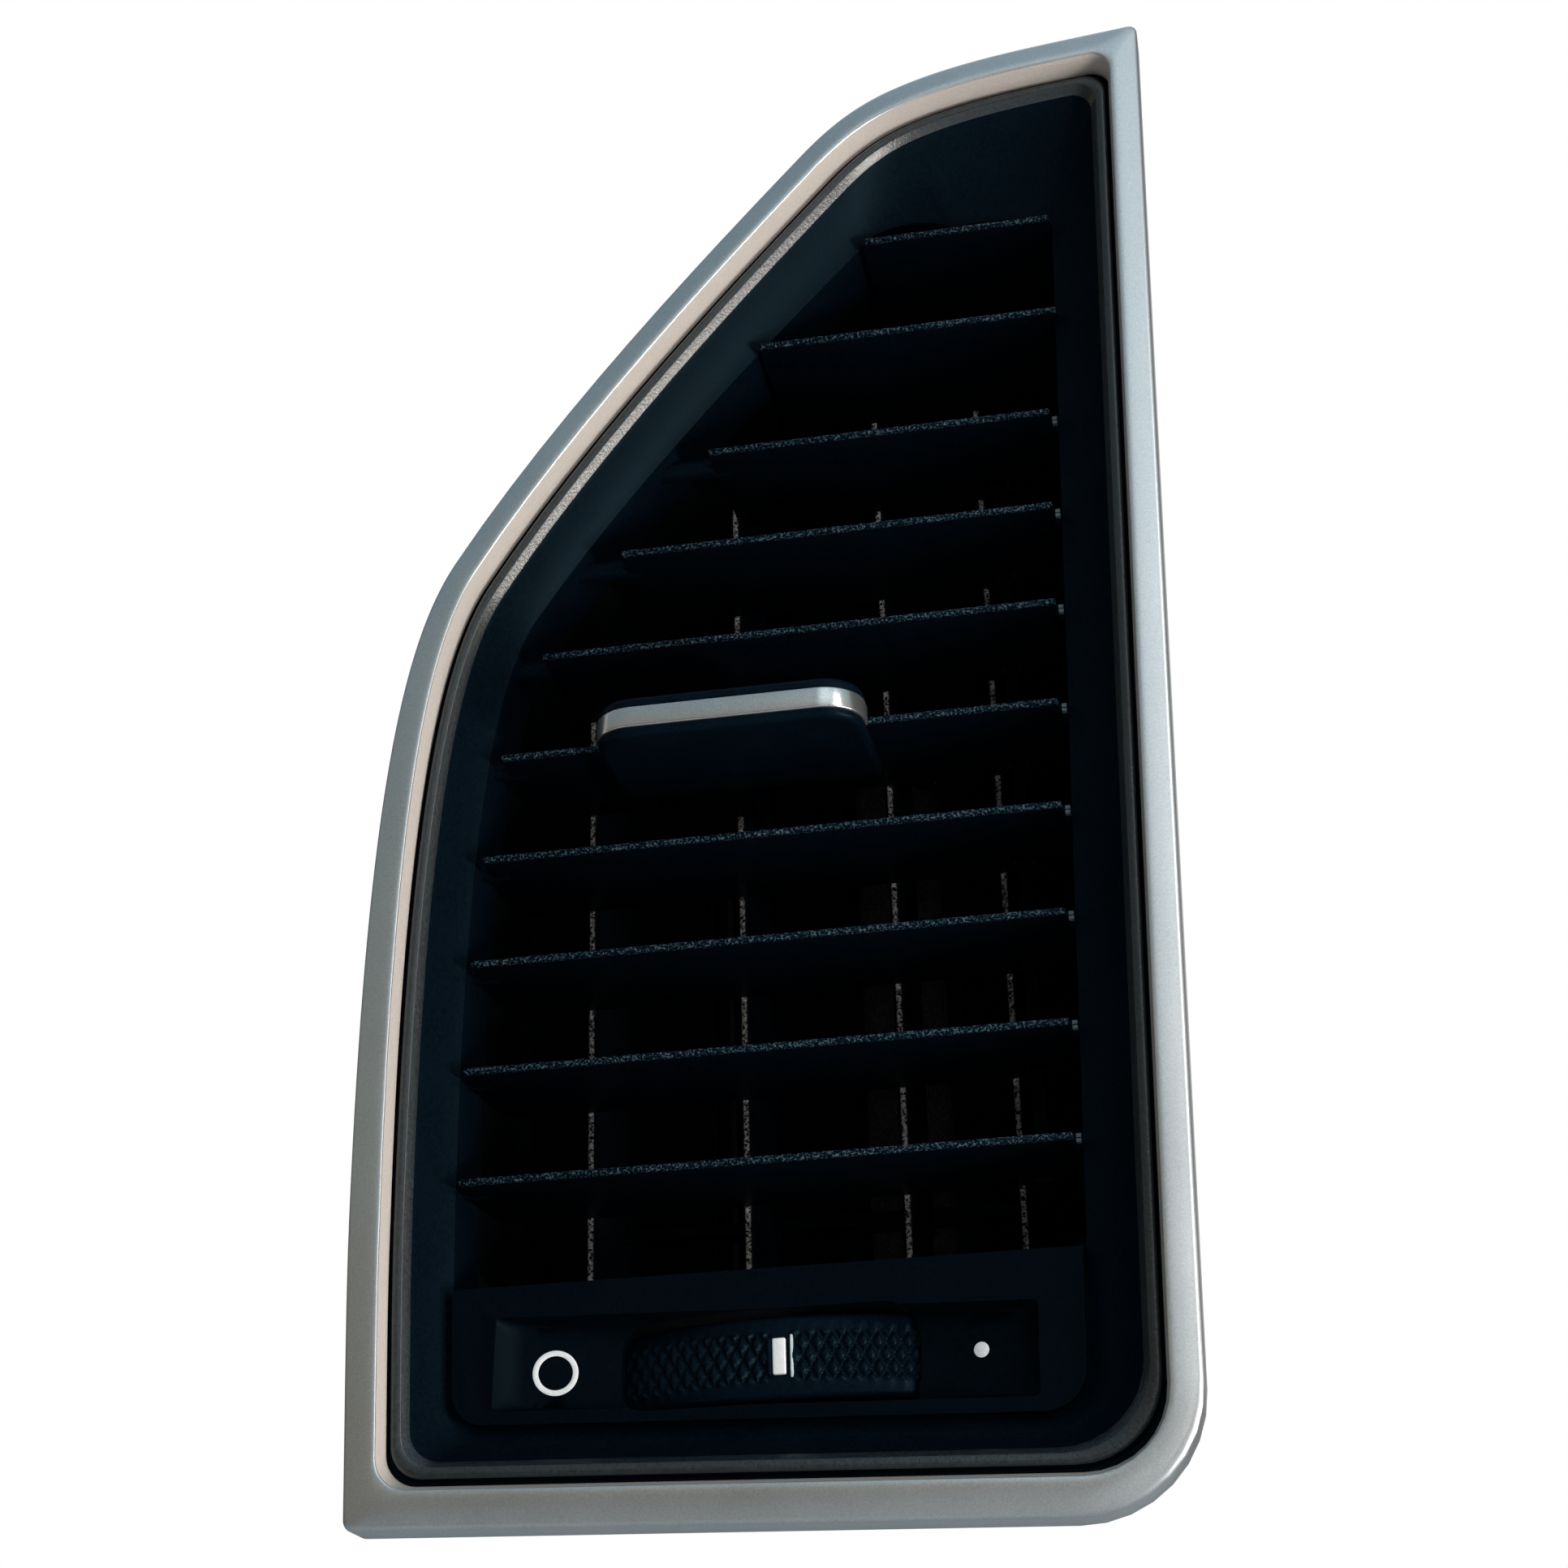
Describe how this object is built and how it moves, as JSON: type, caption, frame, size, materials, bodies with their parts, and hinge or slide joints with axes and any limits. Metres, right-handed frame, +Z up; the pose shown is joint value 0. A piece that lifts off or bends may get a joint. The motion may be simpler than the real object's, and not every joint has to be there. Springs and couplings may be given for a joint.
{
  "type": "dashboard air vent",
  "caption": "Tall leaning dashboard air vent: satin ring, funnel shroud, turning slats, sliding knob, upright vanes, thumbwheel and damper.",
  "frame": {"origin": "middle of the bounding box at rest, with the damper half open", "axes": "+X to the right as the driver faces the vent, +Y into the dashboard along the air duct, +Z up"},
  "size_m": [0.102, 0.098, 0.1924],
  "materials": {
    "black_plastic": "moulded black with a fine grain",
    "dark_plastic": "plain moulded black",
    "satin_silver": "satin silver paint over plastic",
    "white_plastic": "white",
    "spring_steel": "bright steel",
    "grey_foam": "soft dark foam"
  },
  "bodies": {
    "vent": {"bearing_strip_left": "dark_plastic", "bearing_strip_right": "dark_plastic", "control_panel": "black_plastic", "duct_housing": "dark_plastic", "front_shroud": "black_plastic", "housing_screw_1": "spring_steel", "housing_screw_2": "spring_steel", "housing_screw_3": "spring_steel", "housing_screw_4": "spring_steel", "rear_seal": "grey_foam", "spring_clip_1": "spring_steel", "spring_clip_2": "spring_steel", "spring_clip_3": "spring_steel", "spring_clip_4": "spring_steel", "trim_bezel": "satin_silver", "wheel_pin": "spring_steel", "wheel_tray": "dark_plastic"},
    "slat_1_body": {"slat_1": "black_plastic"},
    "slat_2_body": {"slat_2": "black_plastic"},
    "slat_3_body": {"slat_3": "black_plastic"},
    "slat_4_body": {"slat_4": "black_plastic"},
    "slat_5_body": {"slat_5": "black_plastic"},
    "slat_6_body": {"slat_6": "black_plastic"},
    "slat_7_body": {"slat_7": "black_plastic"},
    "slat_8_body": {"slat_8": "black_plastic"},
    "slat_link_body": {"slat_link": "dark_plastic"},
    "knob": {"knob_body": "black_plastic", "knob_trim": "satin_silver", "knob_fork": "dark_plastic"},
    "side_vane_1_body": {"side_vane_1": "black_plastic"},
    "side_vane_2_body": {"side_vane_2": "black_plastic"},
    "side_vane_3_body": {"side_vane_3": "black_plastic"},
    "side_vane_4_body": {"side_vane_4": "black_plastic"},
    "side_link_body": {"side_link": "dark_plastic"},
    "wheel": {"thumb_wheel": "black_plastic", "wheel_marker": "white_plastic"},
    "damper": {"damper_flap": "dark_plastic", "flap_seal_left": "grey_foam", "flap_seal_right": "grey_foam", "damper_crank": "dark_plastic"},
    "damper_rod_body": {"damper_rod": "dark_plastic"}
  },
  "joints": [
    {"name": "slat_1_tilt", "type": "hinge", "parent": "vent", "child": "slat_1_body", "pos_m": [0, -0.036, 0.04361], "axis": [1, 0, 0], "range_deg": [-20, 20]},
    {"name": "slat_2_tilt", "type": "hinge", "parent": "vent", "child": "slat_2_body", "pos_m": [0, -0.036, 0.02997], "axis": [1, 0, 0], "range_deg": [-20, 20]},
    {"name": "slat_3_tilt", "type": "hinge", "parent": "vent", "child": "slat_3_body", "pos_m": [0, -0.036, 0.01632], "axis": [1, 0, 0], "range_deg": [-20, 20]},
    {"name": "slat_4_tilt", "type": "hinge", "parent": "vent", "child": "slat_4_body", "pos_m": [0, -0.036, 0.00267], "axis": [1, 0, 0], "range_deg": [-20, 20]},
    {"name": "slat_5_tilt", "type": "hinge", "parent": "vent", "child": "slat_5_body", "pos_m": [0, -0.036, -0.01098], "axis": [1, 0, 0], "range_deg": [-20, 20]},
    {"name": "slat_6_tilt", "type": "hinge", "parent": "vent", "child": "slat_6_body", "pos_m": [0, -0.036, -0.02463], "axis": [1, 0, 0], "range_deg": [-20, 20]},
    {"name": "slat_7_tilt", "type": "hinge", "parent": "vent", "child": "slat_7_body", "pos_m": [0, -0.036, -0.03827], "axis": [1, 0, 0], "range_deg": [-20, 20]},
    {"name": "slat_8_tilt", "type": "hinge", "parent": "vent", "child": "slat_8_body", "pos_m": [0, -0.036, -0.05192], "axis": [1, 0, 0], "range_deg": [-20, 20]},
    {"name": "slat_link_level", "type": "hinge", "parent": "slat_4_body", "child": "slat_link_body", "pos_m": [0.02704, -0.0215, 0.00298], "axis": [1, 0, 0], "range_deg": [-20, 20]},
    {"name": "knob_slide", "type": "slide", "parent": "slat_4_body", "child": "knob", "axis": [1, 0, 0], "range_m": [-0.0048, 0.0048]},
    {"name": "side_vane_1_swing", "type": "hinge", "parent": "vent", "child": "side_vane_1_body", "pos_m": [-0.03028, -0.0065, 0], "axis": [0, 0, 1], "range_deg": [-28, 28]},
    {"name": "side_vane_2_swing", "type": "hinge", "parent": "vent", "child": "side_vane_2_body", "pos_m": [-0.01026, -0.0065, 0], "axis": [0, 0, 1], "range_deg": [-28, 28]},
    {"name": "side_vane_3_swing", "type": "hinge", "parent": "vent", "child": "side_vane_3_body", "pos_m": [0.00966, -0.0065, 0], "axis": [0, 0, 1], "range_deg": [-28, 28]},
    {"name": "side_vane_4_swing", "type": "hinge", "parent": "vent", "child": "side_vane_4_body", "pos_m": [0.02384, -0.0065, 0], "axis": [0, 0, 1], "range_deg": [-28, 28]},
    {"name": "side_link_level", "type": "hinge", "parent": "side_vane_2_body", "child": "side_link_body", "pos_m": [-0.01026, 0.001, -0.04932], "axis": [0, 0, 1], "range_deg": [-28, 28]},
    {"name": "wheel_turn", "type": "hinge", "parent": "vent", "child": "wheel", "pos_m": [-0.00247, -0.0065, -0.07532], "axis": [0, 0, 1], "range_deg": [-25, 25]},
    {"name": "damper_turn", "type": "hinge", "parent": "vent", "child": "damper", "pos_m": [-0.00427, 0.027, 0], "axis": [0, 0, 1], "range_deg": [-25, 25]},
    {"name": "damper_rod_level", "type": "hinge", "parent": "wheel", "child": "damper_rod_body", "pos_m": [0.01153, -0.0065, -0.06712], "axis": [0, 0, 1], "range_deg": [-25, 25]}
  ],
  "couplings": [
    {"joint": "slat_1_tilt", "follows": "slat_4_tilt", "ratio": 1},
    {"joint": "slat_2_tilt", "follows": "slat_4_tilt", "ratio": 1},
    {"joint": "slat_3_tilt", "follows": "slat_4_tilt", "ratio": 1},
    {"joint": "slat_5_tilt", "follows": "slat_4_tilt", "ratio": 1},
    {"joint": "slat_6_tilt", "follows": "slat_4_tilt", "ratio": 1},
    {"joint": "slat_7_tilt", "follows": "slat_4_tilt", "ratio": 1},
    {"joint": "slat_8_tilt", "follows": "slat_4_tilt", "ratio": 1},
    {"joint": "slat_link_level", "follows": "slat_4_tilt", "ratio": -1},
    {"joint": "side_vane_1_swing", "follows": "knob_slide", "rad_per_m": 101},
    {"joint": "side_vane_2_swing", "follows": "knob_slide", "rad_per_m": 101},
    {"joint": "side_vane_3_swing", "follows": "knob_slide", "rad_per_m": 101},
    {"joint": "side_vane_4_swing", "follows": "knob_slide", "rad_per_m": 101},
    {"joint": "side_link_level", "follows": "knob_slide", "rad_per_m": -101},
    {"joint": "damper_turn", "follows": "wheel_turn", "ratio": 1},
    {"joint": "damper_rod_level", "follows": "wheel_turn", "ratio": -1}
  ]
}
